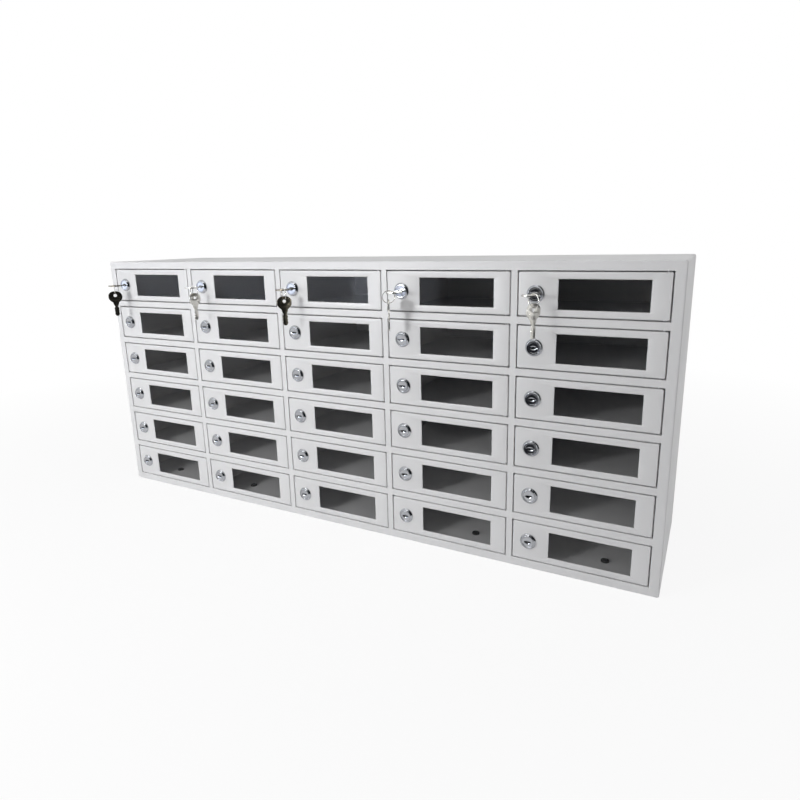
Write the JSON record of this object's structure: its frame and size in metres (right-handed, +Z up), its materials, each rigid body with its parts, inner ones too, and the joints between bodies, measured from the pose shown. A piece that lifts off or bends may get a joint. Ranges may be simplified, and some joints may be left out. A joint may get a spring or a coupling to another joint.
{
  "type": "cell phone locker box",
  "caption": "Low, wide steel locker box for phones: a grid of small hinged doors with smoked windows and cam locks, with keys in the top row.",
  "frame": {"origin": "centre of the underside, halfway across the width and the depth of the cabinet body", "axes": "+X along the width to the right as seen from the front, +Y from the front into the cabinet, +Z up"},
  "size_m": [0.9674, 0.2628, 0.4232],
  "materials": {
    "paint": "semi-gloss powder coat",
    "door_paint": "semi-gloss powder coat, with a smoked pane and a chromed lock",
    "chrome": "bright plating",
    "nickel": "nickel plating on brass",
    "zinc_steel": "zinc plated",
    "black_plastic": "moulded"
  },
  "bodies": {
    "cabinet": {"top_panel": "paint", "base_panel": "paint", "left_side_panel": "paint", "right_side_panel": "paint", "back_panel": "paint", "front_stiles": "paint", "shelves": "paint", "partitions": "paint", "hinge_pins": "zinc_steel", "floor_plugs": "black_plastic"},
    "door_row1_col1": {"door_row1_col1": "door_paint"},
    "door_row1_col2": {"door_row1_col2": "door_paint"},
    "door_row1_col3": {"door_row1_col3": "door_paint"},
    "door_row1_col4": {"door_row1_col4": "door_paint"},
    "door_row1_col5": {"door_row1_col5": "door_paint"},
    "door_row2_col1": {"door_row2_col1": "door_paint"},
    "door_row2_col2": {"door_row2_col2": "door_paint"},
    "door_row2_col3": {"door_row2_col3": "door_paint"},
    "door_row2_col4": {"door_row2_col4": "door_paint"},
    "door_row2_col5": {"door_row2_col5": "door_paint"},
    "door_row3_col1": {"door_row3_col1": "door_paint"},
    "door_row3_col2": {"door_row3_col2": "door_paint"},
    "door_row3_col3": {"door_row3_col3": "door_paint"},
    "door_row3_col4": {"door_row3_col4": "door_paint"},
    "door_row3_col5": {"door_row3_col5": "door_paint"},
    "door_row4_col1": {"door_row4_col1": "door_paint"},
    "door_row4_col2": {"door_row4_col2": "door_paint"},
    "door_row4_col3": {"door_row4_col3": "door_paint"},
    "door_row4_col4": {"door_row4_col4": "door_paint"},
    "door_row4_col5": {"door_row4_col5": "door_paint"},
    "door_row5_col1": {"door_row5_col1": "door_paint"},
    "door_row5_col2": {"door_row5_col2": "door_paint"},
    "door_row5_col3": {"door_row5_col3": "door_paint"},
    "door_row5_col4": {"door_row5_col4": "door_paint"},
    "door_row5_col5": {"door_row5_col5": "door_paint"},
    "door_row6_col1": {"door_row6_col1": "door_paint"},
    "door_row6_col2": {"door_row6_col2": "door_paint"},
    "door_row6_col3": {"door_row6_col3": "door_paint"},
    "door_row6_col4": {"door_row6_col4": "door_paint"},
    "door_row6_col5": {"door_row6_col5": "door_paint"},
    "lock_cam_col1": {"lock_cam_col1": "chrome"},
    "key_col1": {"key_col1": "nickel"},
    "key_ring_col1": {"key_ring_col1": "nickel"},
    "spare_key_col1": {"spare_key_col1": "nickel"},
    "lock_cam_col2": {"lock_cam_col2": "chrome"},
    "key_col2": {"key_col2": "nickel"},
    "key_ring_col2": {"key_ring_col2": "nickel"},
    "spare_key_col2": {"spare_key_col2": "nickel"},
    "lock_cam_col3": {"lock_cam_col3": "chrome"},
    "key_col3": {"key_col3": "nickel"},
    "key_ring_col3": {"key_ring_col3": "nickel"},
    "spare_key_col3": {"spare_key_col3": "nickel"},
    "lock_cam_col4": {"lock_cam_col4": "chrome"},
    "key_col4": {"key_col4": "nickel"},
    "key_ring_col4": {"key_ring_col4": "nickel"},
    "spare_key_col4": {"spare_key_col4": "nickel"},
    "lock_cam_col5": {"lock_cam_col5": "chrome"},
    "key_col5": {"key_col5": "nickel"},
    "key_ring_col5": {"key_ring_col5": "nickel"},
    "spare_key_col5": {"spare_key_col5": "nickel"}
  },
  "joints": [
    {"name": "hinge_row1_col1", "type": "hinge", "parent": "cabinet", "child": "door_row1_col1", "pos_m": [-0.2957, -0.1085, 0.38185], "axis": [0, 0, 1], "range_deg": [0, 110]},
    {"name": "hinge_row1_col2", "type": "hinge", "parent": "cabinet", "child": "door_row1_col2", "pos_m": [-0.1057, -0.1085, 0.38185], "axis": [0, 0, 1], "range_deg": [0, 110]},
    {"name": "hinge_row1_col3", "type": "hinge", "parent": "cabinet", "child": "door_row1_col3", "pos_m": [0.0843, -0.1085, 0.38185], "axis": [0, 0, 1], "range_deg": [0, 110]},
    {"name": "hinge_row1_col4", "type": "hinge", "parent": "cabinet", "child": "door_row1_col4", "pos_m": [0.2743, -0.1085, 0.38185], "axis": [0, 0, 1], "range_deg": [0, 110]},
    {"name": "hinge_row1_col5", "type": "hinge", "parent": "cabinet", "child": "door_row1_col5", "pos_m": [0.4643, -0.1085, 0.38185], "axis": [0, 0, 1], "range_deg": [0, 110]},
    {"name": "hinge_row2_col1", "type": "hinge", "parent": "cabinet", "child": "door_row2_col1", "pos_m": [-0.2957, -0.1085, 0.31375], "axis": [0, 0, 1], "range_deg": [0, 110], "deforming": ["spare_key_col1"]},
    {"name": "hinge_row2_col2", "type": "hinge", "parent": "cabinet", "child": "door_row2_col2", "pos_m": [-0.1057, -0.1085, 0.31375], "axis": [0, 0, 1], "range_deg": [0, 110], "deforming": ["spare_key_col2"]},
    {"name": "hinge_row2_col3", "type": "hinge", "parent": "cabinet", "child": "door_row2_col3", "pos_m": [0.0843, -0.1085, 0.31375], "axis": [0, 0, 1], "range_deg": [0, 110], "deforming": ["spare_key_col3"]},
    {"name": "hinge_row2_col4", "type": "hinge", "parent": "cabinet", "child": "door_row2_col4", "pos_m": [0.2743, -0.1085, 0.31375], "axis": [0, 0, 1], "range_deg": [0, 110], "deforming": ["spare_key_col4"]},
    {"name": "hinge_row2_col5", "type": "hinge", "parent": "cabinet", "child": "door_row2_col5", "pos_m": [0.4643, -0.1085, 0.31375], "axis": [0, 0, 1], "range_deg": [0, 110], "deforming": ["spare_key_col5"]},
    {"name": "hinge_row3_col1", "type": "hinge", "parent": "cabinet", "child": "door_row3_col1", "pos_m": [-0.2957, -0.1085, 0.24565], "axis": [0, 0, 1], "range_deg": [0, 110]},
    {"name": "hinge_row3_col2", "type": "hinge", "parent": "cabinet", "child": "door_row3_col2", "pos_m": [-0.1057, -0.1085, 0.24565], "axis": [0, 0, 1], "range_deg": [0, 110]},
    {"name": "hinge_row3_col3", "type": "hinge", "parent": "cabinet", "child": "door_row3_col3", "pos_m": [0.0843, -0.1085, 0.24565], "axis": [0, 0, 1], "range_deg": [0, 110]},
    {"name": "hinge_row3_col4", "type": "hinge", "parent": "cabinet", "child": "door_row3_col4", "pos_m": [0.2743, -0.1085, 0.24565], "axis": [0, 0, 1], "range_deg": [0, 110]},
    {"name": "hinge_row3_col5", "type": "hinge", "parent": "cabinet", "child": "door_row3_col5", "pos_m": [0.4643, -0.1085, 0.24565], "axis": [0, 0, 1], "range_deg": [0, 110]},
    {"name": "hinge_row4_col1", "type": "hinge", "parent": "cabinet", "child": "door_row4_col1", "pos_m": [-0.2957, -0.1085, 0.17755], "axis": [0, 0, 1], "range_deg": [0, 110]},
    {"name": "hinge_row4_col2", "type": "hinge", "parent": "cabinet", "child": "door_row4_col2", "pos_m": [-0.1057, -0.1085, 0.17755], "axis": [0, 0, 1], "range_deg": [0, 110]},
    {"name": "hinge_row4_col3", "type": "hinge", "parent": "cabinet", "child": "door_row4_col3", "pos_m": [0.0843, -0.1085, 0.17755], "axis": [0, 0, 1], "range_deg": [0, 110]},
    {"name": "hinge_row4_col4", "type": "hinge", "parent": "cabinet", "child": "door_row4_col4", "pos_m": [0.2743, -0.1085, 0.17755], "axis": [0, 0, 1], "range_deg": [0, 110]},
    {"name": "hinge_row4_col5", "type": "hinge", "parent": "cabinet", "child": "door_row4_col5", "pos_m": [0.4643, -0.1085, 0.17755], "axis": [0, 0, 1], "range_deg": [0, 110]},
    {"name": "hinge_row5_col1", "type": "hinge", "parent": "cabinet", "child": "door_row5_col1", "pos_m": [-0.2957, -0.1085, 0.10945], "axis": [0, 0, 1], "range_deg": [0, 110]},
    {"name": "hinge_row5_col2", "type": "hinge", "parent": "cabinet", "child": "door_row5_col2", "pos_m": [-0.1057, -0.1085, 0.10945], "axis": [0, 0, 1], "range_deg": [0, 110]},
    {"name": "hinge_row5_col3", "type": "hinge", "parent": "cabinet", "child": "door_row5_col3", "pos_m": [0.0843, -0.1085, 0.10945], "axis": [0, 0, 1], "range_deg": [0, 110]},
    {"name": "hinge_row5_col4", "type": "hinge", "parent": "cabinet", "child": "door_row5_col4", "pos_m": [0.2743, -0.1085, 0.10945], "axis": [0, 0, 1], "range_deg": [0, 110]},
    {"name": "hinge_row5_col5", "type": "hinge", "parent": "cabinet", "child": "door_row5_col5", "pos_m": [0.4643, -0.1085, 0.10945], "axis": [0, 0, 1], "range_deg": [0, 110]},
    {"name": "hinge_row6_col1", "type": "hinge", "parent": "cabinet", "child": "door_row6_col1", "pos_m": [-0.2957, -0.1085, 0.04135], "axis": [0, 0, 1], "range_deg": [0, 110]},
    {"name": "hinge_row6_col2", "type": "hinge", "parent": "cabinet", "child": "door_row6_col2", "pos_m": [-0.1057, -0.1085, 0.04135], "axis": [0, 0, 1], "range_deg": [0, 110]},
    {"name": "hinge_row6_col3", "type": "hinge", "parent": "cabinet", "child": "door_row6_col3", "pos_m": [0.0843, -0.1085, 0.04135], "axis": [0, 0, 1], "range_deg": [0, 110]},
    {"name": "hinge_row6_col4", "type": "hinge", "parent": "cabinet", "child": "door_row6_col4", "pos_m": [0.2743, -0.1085, 0.04135], "axis": [0, 0, 1], "range_deg": [0, 110]},
    {"name": "hinge_row6_col5", "type": "hinge", "parent": "cabinet", "child": "door_row6_col5", "pos_m": [0.4643, -0.1085, 0.04135], "axis": [0, 0, 1], "range_deg": [0, 110]},
    {"name": "cam_turn_col1", "type": "hinge", "parent": "door_row1_col1", "child": "lock_cam_col1", "pos_m": [-0.4473, -0.1125, 0.38185], "axis": [0, -1, 0], "range_deg": [0, 90]},
    {"name": "key_pull_col1", "type": "slide", "parent": "lock_cam_col1", "child": "key_col1", "axis": [0, -1, 0], "range_m": [0, 0.018]},
    {"name": "ring_swing_col1", "type": "hinge", "parent": "key_col1", "child": "key_ring_col1", "pos_m": [-0.44245, -0.14066, 0.37586], "axis": [0.6018, 0.7986, 0], "range_deg": [-25, 25]},
    {"name": "spare_swing_col1", "type": "hinge", "parent": "key_ring_col1", "child": "spare_key_col1", "pos_m": [-0.44245, -0.14066, 0.36531], "axis": [-0.7986, 0.6018, 0], "range_deg": [-10, 40]},
    {"name": "cam_turn_col2", "type": "hinge", "parent": "door_row1_col2", "child": "lock_cam_col2", "pos_m": [-0.2573, -0.1125, 0.38185], "axis": [0, -1, 0], "range_deg": [0, 90]},
    {"name": "key_pull_col2", "type": "slide", "parent": "lock_cam_col2", "child": "key_col2", "axis": [0, -1, 0], "range_m": [0, 0.018]},
    {"name": "ring_swing_col2", "type": "hinge", "parent": "key_col2", "child": "key_ring_col2", "pos_m": [-0.25033, -0.13724, 0.37638], "axis": [0.0349, 0.9994, 0], "range_deg": [-25, 25]},
    {"name": "spare_swing_col2", "type": "hinge", "parent": "key_ring_col2", "child": "spare_key_col2", "pos_m": [-0.25033, -0.13724, 0.36583], "axis": [-0.9994, 0.0349, 0], "range_deg": [-10, 40]},
    {"name": "cam_turn_col3", "type": "hinge", "parent": "door_row1_col3", "child": "lock_cam_col3", "pos_m": [-0.0673, -0.1125, 0.38185], "axis": [0, -1, 0], "range_deg": [0, 90]},
    {"name": "key_pull_col3", "type": "slide", "parent": "lock_cam_col3", "child": "key_col3", "axis": [0, -1, 0], "range_m": [0, 0.018]},
    {"name": "ring_swing_col3", "type": "hinge", "parent": "key_col3", "child": "key_ring_col3", "pos_m": [-0.0621, -0.14038, 0.37592], "axis": [0.5446, 0.8387, 0], "range_deg": [-25, 25]},
    {"name": "spare_swing_col3", "type": "hinge", "parent": "key_ring_col3", "child": "spare_key_col3", "pos_m": [-0.0621, -0.14038, 0.36537], "axis": [-0.8387, 0.5446, 0], "range_deg": [-10, 40]},
    {"name": "cam_turn_col4", "type": "hinge", "parent": "door_row1_col4", "child": "lock_cam_col4", "pos_m": [0.1227, -0.1125, 0.38185], "axis": [0, -1, 0], "range_deg": [0, 90]},
    {"name": "key_pull_col4", "type": "slide", "parent": "lock_cam_col4", "child": "key_col4", "axis": [0, -1, 0], "range_m": [0, 0.018]},
    {"name": "ring_swing_col4", "type": "hinge", "parent": "key_col4", "child": "key_ring_col4", "pos_m": [0.11723, -0.14016, 0.37598], "axis": [0.5, -0.866, 0], "range_deg": [-25, 25]},
    {"name": "spare_swing_col4", "type": "hinge", "parent": "key_ring_col4", "child": "spare_key_col4", "pos_m": [0.11723, -0.14016, 0.36543], "axis": [-0.866, -0.5, 0], "range_deg": [-10, 40]},
    {"name": "cam_turn_col5", "type": "hinge", "parent": "door_row1_col5", "child": "lock_cam_col5", "pos_m": [0.3127, -0.1125, 0.38185], "axis": [0, -1, 0], "range_deg": [0, 90]},
    {"name": "key_pull_col5", "type": "slide", "parent": "lock_cam_col5", "child": "key_col5", "axis": [0, -1, 0], "range_m": [0, 0.018]},
    {"name": "ring_swing_col5", "type": "hinge", "parent": "key_col5", "child": "key_ring_col5", "pos_m": [0.31817, -0.14016, 0.37598], "axis": [0.5, 0.866, 0], "range_deg": [-25, 25]},
    {"name": "spare_swing_col5", "type": "hinge", "parent": "key_ring_col5", "child": "spare_key_col5", "pos_m": [0.31817, -0.14016, 0.36543], "axis": [-0.866, 0.5, 0], "range_deg": [-10, 40]}
  ]
}
